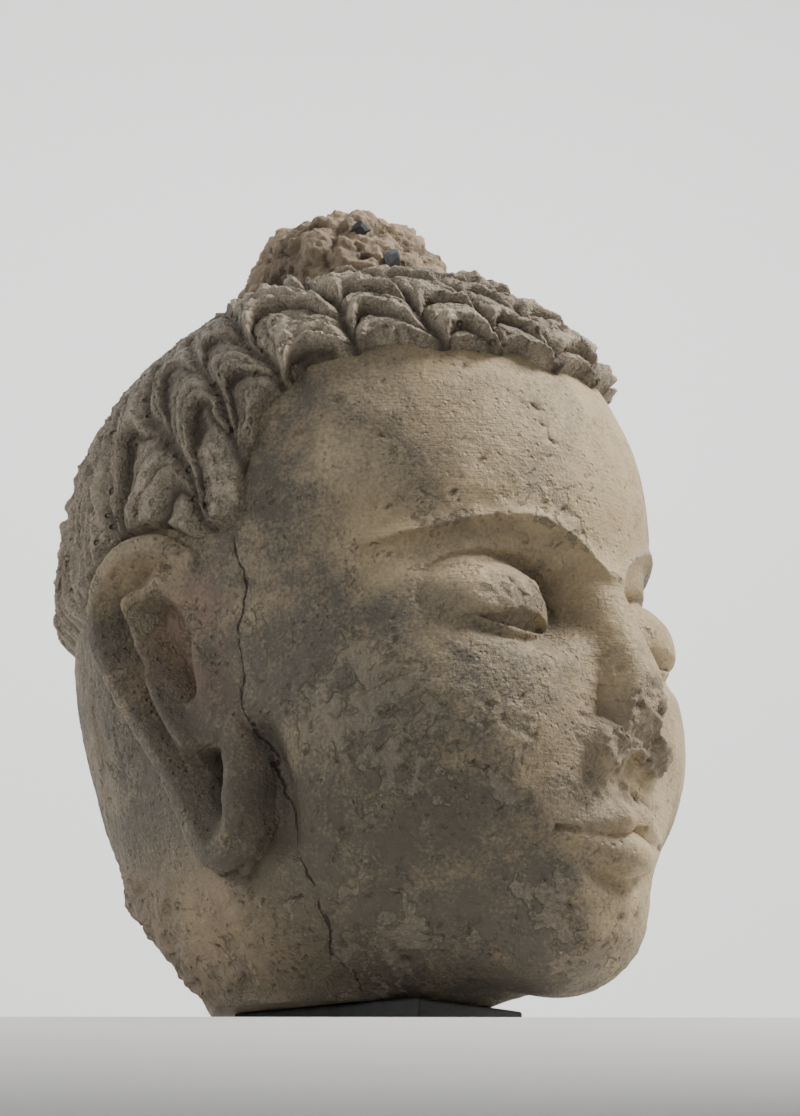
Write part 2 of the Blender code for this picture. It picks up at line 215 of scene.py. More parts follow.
def scattered(cells, table):
    """A seeded random value for each whole-number cell, from a hash of its three numbers."""
    mixed = cells[:, 0] * 73856093 ^ cells[:, 1] * 19349663 ^ cells[:, 2] * 83492791
    return table[(mixed ^ (mixed >> 13)) & (TABLE - 1)]


def spun(p, seed):
    """Points turned at random in space, so that one lattice never lines up with another."""
    turn, _ = np.linalg.qr(np.random.default_rng(seed).normal(size=(3, 3)))
    return p @ turn.astype(np.float32)


def lumps(p, seed, size):
    """Soft lumps between -1 and 1: a random value at each corner of a lattice, eased across each cell."""
    table = np.random.default_rng(seed).uniform(-1.0, 1.0, TABLE).astype(np.float32)
    q = spun(p, seed) / np.float32(size)
    floor = np.floor(q)
    t = q - floor
    t = t * t * (3.0 - 2.0 * t)
    cells = floor.astype(np.int64)
    total = np.zeros(len(p), np.float32)
    for corner in np.ndindex(2, 2, 2):
        weight = np.ones(len(p), np.float32)
        for axis in range(3):
            weight *= t[:, axis] if corner[axis] else 1.0 - t[:, axis]
        total += weight * scattered(cells + np.array(corner), table)
    return total


def rough(p, seed, size, octaves=4, falloff=0.55):
    """Broken roughness: lumps at halving sizes, each weaker by falloff."""
    total = np.zeros(len(p), np.float32)
    strength = 1.0
    for octave in range(octaves):
        total += strength * lumps(p, seed + 31 * octave, size)
        size *= 0.5
        strength *= falloff
    return total


def pitted(p, seed, cell, radius, share):
    """Round pits: a point strewn in each lattice cell, kept for a share of the cells, and a bowl round it.

    Gives each bowl's depth, from 0 at its rim to 1 at its bottom."""
    tables = np.random.default_rng(seed).uniform(0.0, 1.0, (5, TABLE)).astype(np.float32)
    q = spun(p, seed) / np.float32(cell)
    floor = np.floor(q)
    cells = floor.astype(np.int64)
    deepest = np.zeros(len(p), np.float32)
    for step in np.ndindex(3, 3, 3):
        near = cells + np.array(step) - 1
        spot = np.stack([scattered(near, table) for table in tables[:3]], 1)
        gap = q - (near + 0.5 + 0.6 * (spot - 0.5)).astype(np.float32)
        reach = (0.55 + 0.9 * scattered(near, tables[3])) * (radius / cell)
        kept = scattered(near, tables[4]) < share
        bowl = 1.0 - np.einsum("ij,ij->i", gap, gap) / (reach * reach)
        deepest = np.maximum(deepest, np.where(kept, bowl, 0.0))
    return deepest


def bell(p, spot, radius):
    """1 at a spot and falling away round it as a bell of the given radius."""
    gap = (p - np.array(spot, np.float32)) / np.array(radius, np.float32)
    return np.exp(-np.einsum("ij,ij->i", gap, gap))


# The head's own forms

def ear_relief(back, up):
    """How far the ear stands out: rim, plate, fold and lobe up, channel, bowl, slit and hollow down."""
    gap, along = beside(rounded(EAR_RIM), back, up)
    wide = np.interp(along, [0.0, 0.15, 0.35, 0.60, 0.74, 0.85, 1.0],
                     [0.018, 0.020, 0.018, 0.018, 0.025, 0.022, 0.024])
    tall = np.interp(along, [0.0, 0.12, 0.30, 0.50, 0.74, 0.88, 1.0],
                     [0.010, 0.045, 0.060, 0.050, 0.052, 0.046, 0.012])
    rim = tall * np.sqrt(np.clip(1.0 - (gap / wide) ** 3, 0.0, 1.0))
    gap, along = beside(rounded(EAR_FOLD), back, up)
    fold = np.interp(along, [0.0, 0.3, 0.8, 1.0], [0.022, 0.036, 0.034, 0.026])
    fold = fold * np.exp(-(gap / 0.016) ** 2)
    plate_gap, _ = beside(EAR_PLATE, back, up)
    plate = 0.018 * eased(0.075, 0.030, plate_gap)
    gap, along = beside(rounded(EAR_CHANNEL), back, up)
    channel = np.interp(along, [0.0, 0.3, 1.0], [0.012, 0.042, 0.020]) * eased(0.026, 0.004, gap)
    gap, along = beside(rounded(EAR_BOWL), back, up)
    broad = np.interp(along, [0.0, 0.4, 1.0], [0.034, 0.036, 0.018])
    bowl = np.interp(along, [0.0, 0.4, 1.0], [0.046, 0.064, 0.044]) * np.exp(-(gap / broad) ** 4)
    gap, _ = beside(rounded(LOBE_SLIT), back, up)
    slit = 0.044 * eased(0.018, 0.004, gap)
    gap, _ = beside(rounded(JAW_HOLLOW), back, up)
    hollow = 0.034 * np.exp(-(gap / 0.028) ** 2)
    return np.maximum(rim, plate + fold - channel) - bowl - slit - hollow


def ear_cover(p):
    """1 on the ears and 0 off them, so that the hair stops at the rim."""
    cover = np.zeros(len(p), np.float32)
    near = (np.abs(p[:, 0]) > 0.2) & (np.abs(p[:, 1]) < 0.26) & (p[:, 2] < 0.66)
    back, up = p[near, 1], p[near, 2]
    rim_gap, _ = beside(rounded(EAR_RIM), back, up)
    plate_gap, _ = beside(EAR_PLATE, back, up)
    cover[near] = np.maximum(eased(0.044, 0.020, rim_gap), eased(0.090, 0.060, plate_gap))
    return cover


def brow_height(side):
    """How high the brow's arc runs, from the root of the nose out to the temple."""
    return 0.528 + 0.060 * np.sin(np.pi * np.clip((side - 0.012) / 0.310, 0.0, 1.0) ** 0.80)


def eye(q):
    """Distance to a half closed eye: a ball under an upper and a lower lid that meet at its corners."""
    share = np.clip(1.0 - ((q[:, 0] - EYE_CENTRE[0]) / 0.072) ** 2, -1.0, 1.0)
    eyeball = ball(q, EYE_CENTRE, EYE_RADII)
    upper_edge = 0.450 + 0.010 * share
    lower_edge = 0.450 - 0.012 * share
    upper = carve(eyeball - 0.0120, q[:, 2] - upper_edge, 0.004)
    lower = carve(eyeball - 0.0090, lower_edge - q[:, 2], 0.004)
    return np.minimum(eyeball, np.minimum(upper, lower))


def nose(q):
    """Distance to the nose: a straight bridge, a rounded tip and a wing."""
    bridge = rod(q, (0.0, -0.394, 0.525), (0.0, -0.476, 0.322), 0.021, 0.033)
    tip = ball(q, (0.0, -0.494, 0.311), (0.034, 0.034, 0.030))
    wing = ball(q, (0.039, -0.446, 0.296), (0.028, 0.043, 0.025))
    return join(join(bridge, tip, 0.020), wing, 0.014)


def nose_break(p):
    """Distance to what is broken off the nose: all before a rough slope from mid bridge to the upper lip."""
    slope = p[:, 1] + 0.440 + 0.300 * (p[:, 2] - 0.245)
    lumpy = slope - 0.0050 * waves(p, 21, 0.050) - 0.0025 * waves(p, 22, 0.022)
    return np.maximum(lumpy, 0.236 - p[:, 2])


def lips(q):
    """Distance to the lips: a bowed upper lip and a fuller lower one."""
    upper = rod(q, (0.016, -0.436, 0.206), (0.094, -0.405, 0.190), 0.0205, 0.0095)
    lower = rod(q, (0.0, -0.436, 0.160), (0.074, -0.409, 0.175), 0.0245, 0.0115)
    return join(upper, lower, 0.003)


def body(p):
    """Distance to the head without its hair and topknot: skull, neck, face and ears, mirrored at the middle.

    Round the ears, whose walls are steep, half of it is given, so that a marching ray never steps too far."""
    side = np.sqrt(p[:, 0] ** 2 + 0.006 ** 2) - 0.006
    q = np.stack([side, p[:, 1], p[:, 2]], 1)
    back, up = q[:, 1], q[:, 2]

    form = ball(q, (0.0, 0.010, 0.618), (0.332, 0.424, 0.388))
    widened_across = q * np.array([1.25, 1.0, 1.0], np.float32)
    neck = rod(widened_across, (0.0, 0.060, 0.235), (0.0, 0.030, 0.465), 0.316, 0.406)
    form = join(form, neck, 0.06)
    fore = back < 0.22
    seen = q[fore]
    face = ball(seen, (0.0, -0.122, 0.335), (0.292, 0.300, 0.328))
    face = join(face, ball(seen, (0.125, -0.220, 0.330), (0.152, 0.170, 0.180)), 0.10)
    face = join(face, ball(seen, (0.180, -0.060, 0.240), (0.125, 0.190, 0.180)), 0.08)
    whole = join(form[fore], face, 0.06)
    whole = join(whole, ball(seen, (0.0, -0.350, 0.190), (0.120, 0.080, 0.100)), 0.07)
    whole = join(whole, rod(seen, (0.0, -0.300, 0.090), (0.160, -0.110, 0.170), 0.086, 0.112), 0.08)
    form[fore] = join(whole, ball(seen, (0.0, -0.338, 0.082), (0.092, 0.074, 0.072)), 0.07)

    front = (back < -0.15) & (up > 0.08) & (up < 0.66)
    seen = q[front]
    features = carve(form[front], ball(seen, (0.152, -0.436, 0.482), (0.128, 0.118, 0.070)), 0.026)
    under_brow = brow_height(seen[:, 0]) - seen[:, 2]
    step = eased(-0.003, 0.006, under_brow) * eased(0.075, 0.010, under_brow)
    features += 0.0075 * step * eased(0.325, 0.240, seen[:, 0]) * eased(-0.17, -0.24, seen[:, 1])
    off_eye = ball(seen, EYE_CENTRE, EYE_RADII)
    crease = np.exp(-((off_eye - 0.0200) / 0.0045) ** 2) * eased(0.450, 0.475, seen[:, 2])
    features = join(features, eye(seen), 0.006)
    features = join(features, nose(seen), 0.030) + 0.0050 * crease
    features = carve(features, nose_break(p[front]), 0.006)
    features = carve(features, ball(seen, (0.024, -0.450, 0.266), (0.012, 0.018, 0.014)), 0.006)
    features = carve(features, rod(seen, (0.0, -0.452, 0.262), (0.0, -0.450, 0.222), 0.006, 0.009), 0.012)
    features = carve(features, rod(seen, (0.0, -0.450, 0.136), (0.050, -0.432, 0.138), 0.016, 0.008), 0.030)
    features = join(features, lips(seen), 0.008)
    features = carve(features, ball(seen, (0.0, -0.468, 0.222), (0.026, 0.020, 0.014)), 0.008)
    features = carve(features, rod(seen, (0.070, -0.432, 0.184), (0.106, -0.402, 0.188), 0.001, 0.006), 0.006)
    ridge = np.exp(-((seen[:, 2] - brow_height(seen[:, 0])) / 0.011) ** 2)
    ridge = ridge * eased(0.330, 0.270, seen[:, 0]) * eased(-0.15, -0.22, seen[:, 1])
    form[front] = features - 0.0060 * ridge

    near = (side > 0.17) & (np.abs(back) < 0.24) & (up > 0.05) & (up < 0.66)
    relief = ear_relief(back[near], up[near])
    form[near] -= relief * eased(0.17, 0.24, side[near])
    form[near & (up > 0.14)] *= 0.5

    low = up < 0.14
    outward = 0.50 * side[low] + 0.866 * back[low]
    broken = (outward - 0.212) * 0.767 - up[low] * 0.642 + 0.006 * waves(p[low], 8, 0.06)
    form[low] = carve(form[low], -broken, 0.02)
    return np.maximum(form, SEAT - up)


def ray_grid(columns, rows):
    """Directions over a sphere: columns round the upright axis, rows from the top to the bottom."""
    round_about = np.arange(columns) * 2.0 * np.pi / columns
    down = (np.arange(rows) + 0.5) * np.pi / rows
    flat = np.sin(down)[:, None]
    grid = [flat * np.cos(round_about), flat * np.sin(round_about), np.cos(down)[:, None] + 0.0 * round_about]
    return np.stack(grid, -1).reshape(-1, 3).astype(np.float32)


def marched(directions, reach, steps):
    """Where rays leave the head: each marches along by the distance that is left to the surface."""
    for _ in range(steps):
        reach = reach - 0.85 * np.clip(body(TRACE_CENTRE + directions * reach[:, None]), -0.02, 0.2)
    return np.maximum(reach, 0.05)


def widened(coarse, rows, columns):
    """A coarse closed grid of values read between its points at a finer grid's points."""
    old_rows, old_columns = coarse.shape
    down = np.clip((np.arange(rows) + 0.5) * old_rows / rows - 0.5, 0.0, old_rows - 1.0)
    top = np.minimum(down.astype(int), old_rows - 2)
    share = (down - top)[:, None].astype(np.float32)
    tall = coarse[top] * (1.0 - share) + coarse[top + 1] * share
    across = np.arange(columns) * old_columns / columns
    left = across.astype(int)
    share = (across - left).astype(np.float32)
    return tall[:, left] * (1.0 - share) + tall[:, (left + 1) % old_columns] * share


def furthest_near(grid):
    """The greatest value among each point of a closed grid and its eight neighbours."""
    tall = np.pad(grid, ((1, 1), (0, 0)), "edge")
    tall = np.maximum(tall, np.maximum(np.roll(tall, 1, 1), np.roll(tall, -1, 1)))
    return np.maximum(tall[1:-1], np.maximum(tall[:-2], tall[2:]))


def traced_head():
    """The bare head on the fine grid: rays marched on a coarse grid, then a few steps more on the fine one.

    Each fine ray starts from the furthest of the coarse ones round it, so that it meets the outside first.
    Where the surface turns back under itself, the jump between rays is eased to a steep slope."""
    rows, columns = ROWS // COARSE, COLUMNS // COARSE
    reach = np.full(rows * columns, 0.75, np.float32)
    reach = marched(ray_grid(columns, rows), reach, 24).reshape(rows, columns)
    fine = widened(furthest_near(reach) + 0.002, ROWS, COLUMNS).ravel()
    directions = ray_grid(COLUMNS, ROWS)
    fine = marched(directions, fine, 8).reshape(ROWS, COLUMNS)
    for _ in range(4):
        fine = np.maximum(fine, furthest_near(fine) - STEEPEST)
    return TRACE_CENTRE + directions * fine.reshape(-1, 1)


def grid_normals(points, rows, columns):
    """Outward normals of a closed grid, across the differences to its neighbours."""
    grid = points.reshape(rows, columns, 3)
    around = np.roll(grid, -1, axis=1) - np.roll(grid, 1, axis=1)
    down = np.gradient(grid, axis=0)
    normals = np.cross(down, around).reshape(-1, 3)
    return normals / (np.linalg.norm(normals, axis=1, keepdims=True) + 1e-12)


# Hair

def hair_depth(p):
    """How far inside the hair a point is: past the line over the forehead and down the temple."""
    side = np.abs(p[:, 0])
    over_brow = p[:, 2] - (0.805 + 0.09 * side) - 0.004 * np.cos(p[:, 0] * 60.0)
    behind_temple = p[:, 1] + 0.066
    return -join(-over_brow, -behind_temple, 0.20)


def above_nape(p):
    """How far down the hair reaches: 1 above its lower border, 0 below it. It ends higher before the ear."""
    before = eased(0.100, -0.010, p[:, 1])
    return eased(0.0, 0.140 - 0.100 * before, p[:, 2] - 0.465 - 0.110 * before)


def lock_phase(p):
    """Which lock of its column a point is on, counted up from the hairline: round arches with steep legs.

    With it come the place across the column, the column and its width, the turn and the depth in the hair."""
    depth = hair_depth(p)
    d = p - HAIR_CENTRE
    ahead = -d[:, 1] * np.cos(WHORL_TILT) + d[:, 2] * np.sin(WHORL_TILT)
    turn = np.degrees(np.arctan2(np.abs(d[:, 0]), ahead)) + 1.2 * waves(p, 11, 0.16)
    sweep = 17.0 * eased(42.0, 74.0, turn) * eased(0.0, 0.30, depth)
    place = np.clip(turn - sweep, -5.5, 179.9)
    column = np.clip(np.searchsorted(COLUMN_EDGES, place) - 1, 0, len(COLUMN_EDGES) - 2)
    low, high = COLUMN_EDGES[column], COLUMN_EDGES[column + 1]
    across = (place - low) / (high - low) * 2.0 - 1.0
    lean = np.where(column == 0, 0.0, 0.22)
    across = np.where(across > lean, (across - lean) / (1.0 - lean), (across - lean) / (1.0 + lean))
    spacing = np.interp(place, [0.0, 35.0, 50.0, 66.0, 180.0], [0.053, 0.056, 0.074, 0.092, 0.088])
    reach = np.interp(place, [0.0, 30.0, 60.0, 95.0, 180.0], [1.05, 1.20, 1.45, 1.45, 1.10])
    arch = reach * (1.0 - np.sqrt(1.0 - 0.88 * across * across))
    phase = depth / spacing + arch + COLUMN_SHIFTS[column] + 0.14 * waves(p, 12, 0.09)
    wide = np.radians(high - low) * np.hypot(ahead, d[:, 0])
    return phase, across, column, turn, depth, wide


def lock_relief(p):
    """Height of the locks from about 0 to 1, how much of the hair's mass stands there, and the seams' share.

    Each lock is a stack of two or three rounded bands, each with a sharp groove at its lower lip. The lowest
    band stands out furthest, and the uppermost sinks to a dark eye under the arch of the lock above."""
    phase, across, column, turn, depth, wide = lock_phase(p)
    part = phase - np.floor(phase)
    table = np.random.default_rng(41).uniform(0.0, 1.0, TABLE).astype(np.float32)
    each = scattered(np.stack([np.floor(phase), column, (p[:, 0] > 0)], 1).astype(np.int64), table)
    part = np.clip(part + 0.03 * lumps(p, 19, 0.05) * np.sin(np.pi * part), 0.0, 1.0)
    front_band = np.where(part < 0.60, part / 0.60, (part - 0.60) / 0.40)
    within = np.where(column < FRONT_COLUMNS, front_band, 3.0 * part - np.floor(3.0 * part))
    band = np.sqrt(1.0 - 0.98 * (2.0 * within - 1.0) ** 2)
    lock = eased(0.0, 0.24, part) * (1.0 - 0.66 * eased(0.30, 1.0, part))
    fine = np.abs(np.sin(np.pi * within * 2.5 + 1.5 * waves(p, 17, 0.04)))
    relief = lock * (0.30 + 0.24 * each) + 0.50 * band * (0.55 + 0.45 * lock) - 0.05 * fine
    dark_eye = np.where(column < FRONT_COLUMNS, 0.12, 0.46) * np.exp(-(across / 0.46) ** 2)
    relief = relief - dark_eye * eased(0.62, 0.92, part)
    seam = eased(0.74, 0.99, np.abs(across))
    relief = relief * (1.0 - seam) + 0.08 * seam
    narrow = eased(0.085, 0.035, wide)
    relief = relief * (1.0 - 0.8 * narrow) + 0.16 * narrow
    streaks = 0.5 + 0.5 * np.sin(turn * 1.5 + 2.5 * waves(p, 13, 0.2))
    plain = eased(98.0, 132.0, turn) * 0.75
    relief = relief * (1.0 - plain) + plain * (0.25 + 0.50 * streaks)
    nape = above_nape(p + 0.016 * rough(p, 14, 0.1, 3)[:, None])
    scallop = 0.010 * (1.0 - across * across) * eased(70.0, 50.0, turn)
    ragged = 0.0032 * rough(p, 15, 0.022, 4)
    mass = eased(-0.003, 0.009, depth - scallop + ragged) * nape
    off_knot = np.hypot(p[:, 0], p[:, 1] - 0.05) + 0.3 * np.maximum(0.9 - p[:, 2], 0.0)
    knot = eased(0.150, 0.195, off_knot)
    return relief * (0.35 + 0.65 * knot), mass * (0.2 + 0.8 * knot), seam


def uphill(p, normals):
    """Unit direction along the surface in which the locks' count rises fastest, found by small steps."""
    step = 0.0015
    start = lock_phase(p)[0]
    slope = np.zeros_like(p)
    for axis in range(3):
        moved = p.copy()
        moved[:, axis] += step
        slope[:, axis] = np.clip(lock_phase(moved)[0] - start, -0.3, 0.3)
    slope -= (slope * normals).sum(1, keepdims=True) * normals
    return slope / (np.linalg.norm(slope, axis=1, keepdims=True) + 1e-6)


def combed(points, normals):
    """The hair's surface: the bare head lifted by its mass and locks, each lip drawn down over what is below.

    Off the hair it sinks under the face's surface. Gives the points and how hollow and how worn each is."""
    lifted = points - HAIR_SUNK * MM * normals
    tones = {name: np.zeros(len(points), np.float32) for name in ("hollow", "worn")}
    here = (hair_depth(points) > -0.05) & (points[:, 2] > 0.44)
    p, n = points[here], normals[here]
    relief, mass, seam = lock_relief(p)
    mass *= 1.0 - ear_cover(p)
    crest = eased(0.42, 0.85, relief)
    edge = rough(p, 51, 0.035, 3)
    crumbs = rough(p, 52, 0.020, 4, 0.75)
    chipped = pitted(p, 54, 0.026, 0.008, 0.50) * (0.35 + 0.65 * crest)
    thickness = (HAIR_THICKNESS + 1.15 * LOCK_DEPTH * (relief - 0.50)) / HEAD_HEIGHT
    thickness += (1.40 * crumbs * (0.55 + 0.45 * crest) - 2.2 * chipped) * MM
    thickness -= 2.2 * eased(0.45, 0.90, edge) * crest * MM
    base = -HAIR_SUNK * MM
    lift = base + (thickness - base) * eased(0.02, 0.60, mass)
    lean = 0.22 * mass * mass * (1.0 - seam) ** 2 * np.clip(relief, 0.0, 1.0) * LOCK_DEPTH / HEAD_HEIGHT
    lean += 0.8 * MM * mass * rough(p, 53, 0.016, 3)
    lifted[here] = p + n * lift[:, None] - uphill(p, n) * lean[:, None]
    # Painted shade: how far the hair's colour goes near black, where the relief is low between locks and in
    # the chips.
    tones["hollow"][here] = np.clip(eased(0.44, 0.06, relief) + 0.35 * chipped, 0.0, 1.0)
    tones["worn"][here] = np.clip(crest * (0.60 + 0.45 * edge) + 0.25 * crumbs * crest, 0.0, 1.0)
    return lifted, tones


# Wear on the face, ears and neck

def slanted(p, degrees, drawn):
    """Points turned about the line from front to back and squeezed, so that pits made there are drawn out."""
    a = np.radians(degrees)
    across, up = p[:, 0] * np.cos(a) - p[:, 2] * np.sin(a), p[:, 0] * np.sin(a) + p[:, 2] * np.cos(a)
    return np.stack([across, p[:, 1], up], 1) * np.array(drawn, np.float32)


def weathered(p, n, directions):
    """How far each point of the bare head is moved by wear, in millimetres, and the tones that go with it.

    Flakes are shallow steps where a slow roughness passes a level, pits are strewn bowls, and the breaks are
    coarse roughness. The crack is kept as the distance across it."""
    side, back, up = np.abs(p[:, 0]), p[:, 1], p[:, 2]
    right = eased(0.02, -0.10, p[:, 0])
    over_brow = up - brow_height(side)
    shift = 0.45 * rough(p, 61, 0.11, 2) + 0.16 * rough(p, 62, 0.024, 3)

    cheek = bell(p, (-0.275, -0.300, 0.292), (0.085, 0.10, 0.085))
    patch = bell(p, (-0.320, -0.150, 0.290), (0.08, 0.065, 0.085))
    under_jaw = eased(0.17, 0.03, up) * eased(0.16, 0.02, back)
    lid = bell(p, (-0.150, -0.385, 0.490), (0.085, 0.07, 0.030)) * right
    brow = np.exp(-((over_brow - 0.004) / 0.010) ** 2) * eased(-0.15, -0.25, back)
    brow *= eased(0.33, 0.24, side)
    lip = bell(p, (0.0, -0.452, 0.222), (0.045, 0.03, 0.024))
    fracture = eased(0.012, 0.003, np.abs(nose_break(p))) * (back < -0.40) * eased(0.42, 0.38, up)
    fracture = np.maximum(fracture * eased(0.10, 0.07, side),
                          bell(p, (-0.062, -0.425, 0.325), (0.036, 0.040, 0.055)))
    forehead = eased(0.62, 0.70, up) * eased(-0.10, -0.20, back)
    neck_break = eased(0.16, 0.10, up - 0.5 * (back - 0.12)) * eased(0.10, 0.16, back)
    strip = bell(p, (-0.255, 0.275, 0.36), (0.07, 0.035, 0.20)) * right
    chin = bell(p, (-0.110, -0.390, 0.100), (0.09, 0.08, 0.075))

    slow = rough(p, 63, 0.075, 4)
    lace = 0.55 - 1.9 * np.abs(lumps(p, 64, 0.030) + 0.6 * lumps(p, 83, 0.014) + 0.35 * lumps(p, 84, 0.007))
    wish = (0.70 * cheek + 0.55 * patch + 0.40 * under_jaw + 0.35 * lid + 0.30 * brow + 0.22 * right
            + 0.45 * chin)
    flake = 0.60 * slow + 0.55 * lace + wish - 0.60 * forehead - 0.22
    flaked = eased(0.46, 0.72, flake)
    shift -= (0.45 + 0.50 * rough(p, 65, 0.010, 3)) * flaked
    sandy = np.clip(0.25 + cheek + patch + under_jaw + 0.3 * right - forehead, 0.0, 1.0)
    shift += 0.50 * rough(p, 85, 0.016, 3) * sandy
    crust = eased(0.35, 0.75, lid + 0.8 * brow * (0.6 + 0.6 * slow))
    shift += 0.80 * crust * rough(p, 66, 0.012, 3)

    some = np.clip(0.22 + 0.9 * cheek + 0.9 * patch + 0.9 * under_jaw + 0.30 * right + 0.5 * brow, 0.0, 1.4)
    pits = 0.9 * pitted(p, 67, 0.020, 0.0042, 0.40) * some + 1.5 * pitted(p, 68, 0.048, 0.0080, 0.20) * some
    pits += 1.1 * pitted(slanted(p, 38.0, (2.4, 0.7, 0.8)), 69, 0.030, 0.0060, 0.42 + 0.25 * forehead)
    strewn = forehead * eased(-0.30, 0.20, lumps(p, 88, 0.045))
    pits += 1.4 * strewn * pitted(slanted(p, -50.0, (2.2, 0.50, 0.60)), 89, 0.027, 0.0050, 0.62)

    jagged = 0.008 * lumps(p, 71, 0.040) + 0.006 * lumps(p, 72, 0.017) + 0.003 * lumps(p, 73, 0.007)
    gap, _ = beside(CRACK, back + jagged, up)
    gap = np.where((p[:, 0] < -0.12) & (back < 0.2), gap, 1.0)
    gap = gap + 0.0012 * eased(0.0, 0.9, rough(p, 86, 0.030, 3))
    shift += 0.5 * np.exp(-((gap - 0.005) / 0.005) ** 2) * slow - 0.5 * eased(0.005, 0.001, gap)

    nodules = np.abs(rough(p, 74, 0.036, 4)) + 0.5 * np.abs(rough(p, 79, 0.014, 3))
    shift += fracture * (2.8 * nodules - 2.4) - 2.4 * fracture * pitted(p, 75, 0.030, 0.010, 0.6)
    shift += 1.6 * lip * (rough(p, 76, 0.022, 3) - 0.4)
    lower_rim = eased(0.055, 0.020, up + 0.02 * slow) * eased(-0.05, 0.06, back)
    neck_break = np.maximum(neck_break, lower_rim)
    shift += 3.0 * neck_break * (rough(p, 77, 0.045, 5) - 0.25)
    shift += 2.0 * strip * (rough(p, 78, 0.040, 4) - 0.3)
    facing = eased(0.22, 0.52, (n * directions).sum(1))
    pits *= facing
    shift = (shift * facing - pits) * eased(SEAT, SEAT + 0.03, up)

    bare = np.clip(fracture + 0.7 * lip + 1.2 * neck_break + 0.8 * strip + 0.5 * crust, 0.0, 1.0)
    # Patina with painted shade: besides its random mottle and the darker breaks, it is made darker low down,
    # towards the back, under the jaw, at the temple and most on the head's right side, and lighter at the
    # front, as painted shade and light.
    lower = eased(0.62, 0.40, up + 0.12 * slow)
    front = eased(-0.30, -0.44, back + 0.03 * slow)
    patina_and_shade = 0.40 + 0.38 * (1.0 - 0.55 * forehead) * rough(p, 81, 0.13, 5) + (0.16 + 0.30 * right) * lower
    patina_and_shade += 0.25 * eased(-0.30, -0.12, back) + 0.22 * fracture + 0.30 * under_jaw
    temple = bell(p, (-0.265, -0.235, 0.690), (0.08, 0.10, 0.07))
    patina_and_shade += 0.20 * temple - 0.44 * front - 0.35 * patch
    ochre = bell(p, (-0.235, 0.030, 0.080), (0.10, 0.13, 0.085)) + 0.4 * eased(0.25, 0.1, up) * (back > 0)
    pink = np.maximum(bell(p, (-0.33, 0.03, 0.46), (0.08, 0.10, 0.10)),
                      0.9 * bell(p, (0.0, -0.44, 0.180), (0.075, 0.04, 0.024)))
    pink = pink * np.clip(0.5 + 0.9 * rough(p, 82, 0.05, 3), 0.0, 1.0)
    slate = np.exp(-((over_brow - 0.005) / 0.0035) ** 2)
    slate *= bell(p, (0.085, -0.42, 0.575), (0.05, 0.08, 0.03))
    patina_and_shade, pits, ochre = (np.clip(values, 0.0, 1.0) for values in (patina_and_shade, pits / 1.6, ochre))
    return shift, dict(zip(TONES, (bare, patina_and_shade, pits, flake, gap, ochre, pink, slate)))


def worn_down(points, normals):
    """The bare head with its damage, plain and sunk a little where the hair covers it."""
    covered = eased(0.012, 0.030, hair_depth(points)) * above_nape(points)
    covered *= 1.0 - ear_cover(points)
    shift = -FACE_SUNK * covered
    tones = {name: np.zeros(len(points), np.float32) for name in TONES}
    tones["crack"] += 1.0
    seen = covered < 0.999
    directions = points[seen] - TRACE_CENTRE
    directions /= np.linalg.norm(directions, axis=1, keepdims=True)
    moved, found = weathered(points[seen], normals[seen], directions)
    shift[seen] += moved * (1.0 - covered[seen])
    for name, values in found.items():
        tones[name][seen] = values
    return points + normals * (shift * MM)[:, None], tones


# Topknot and its stones

def topknot():
    """The broken topknot: a ball pushed in and out by coarse lumps, nodules, crumbs and pits.

    Its nodules are the size of a soft roughness, plus or minus, so that sharp creases part them."""
    directions = ray_grid(KNOT_COLUMNS, KNOT_ROWS)
    p = KNOT_CENTRE + directions * np.array([0.150, 0.150, 0.140], np.float32)
    coarse = waves(p, 5, 0.075) + 0.5 * waves(p, 6, 0.035)
    nodules = np.abs(lumps(p, 91, 0.050)) + 0.6 * np.abs(lumps(p, 95, 0.024))
    nodules += 0.35 * np.abs(lumps(p, 96, 0.012))
    crumbs = rough(p, 92, 0.016, 4, 0.65)
    pits = pitted(p, 93, 0.050, 0.017, 0.60)
    small = pitted(p, 94, 0.018, 0.0055, 0.60)
    dent = bell(p, (-0.150, 0.035, 1.010), (0.05, 0.06, 0.05))
    out = 4.2 * (nodules - 0.75) + 1.5 * crumbs - 4.0 * pits - 1.6 * small - 5.0 * dent
    # Painted shade: how far the colour goes near black in the pits, the dent and the creases between nodules.
    hollow = 0.8 * pits + 0.35 * small + 0.7 * dent + 0.8 * eased(0.45, 0.15, nodules)
    tones = {"hollow": np.clip(hollow, 0.0, 1.0), "worn": np.clip(0.35 * nodules + 0.3 * crumbs, 0.0, 1.0)}
    return p + directions * (0.0065 * coarse + out * MM)[:, None], tones


def pebble(seed, centre, size, planes=14):
    """An angular stone: the inside of slanted planes at random, so each ray stops at the nearest of them."""
    rng = np.random.default_rng(seed)
    facing = rng.normal(size=(planes, 3))
    facing /= np.linalg.norm(facing, axis=1, keepdims=True)
    far = rng.uniform(0.72, 1.0, planes)
    directions = ray_grid(STONE_COLUMNS, STONE_ROWS)
    closeness = np.maximum(directions @ facing.T, 1e-3)
    reach = (far / closeness).min(1)
    reach = np.minimum(reach, 1.25)
    return np.array(centre) + directions * reach[:, None] * np.array(size)


# From arrays to meshes

def placed(points, band=0.0025):
    """Head heights to metres. The last band before the solids' box is squeezed, so that nothing leaves it."""
    found = points * HEAD_HEIGHT + np.array([0.0, AXIS_BACK * HEAD_HEIGHT, CHIN_LIFT])
    low, high = np.array(cad_box[0]) + band, np.array(cad_box[1]) - band
    over, under = np.maximum(found - high, 0.0), np.maximum(low - found, 0.0)
    found = np.where(over > 0.0, high + 0.97 * band * (1.0 - np.exp(-over / band)), found)
    sides = np.array([True, True, False])
    return np.where((under > 0.0) & sides, low - 0.97 * band * (1.0 - np.exp(-under / band)), found)


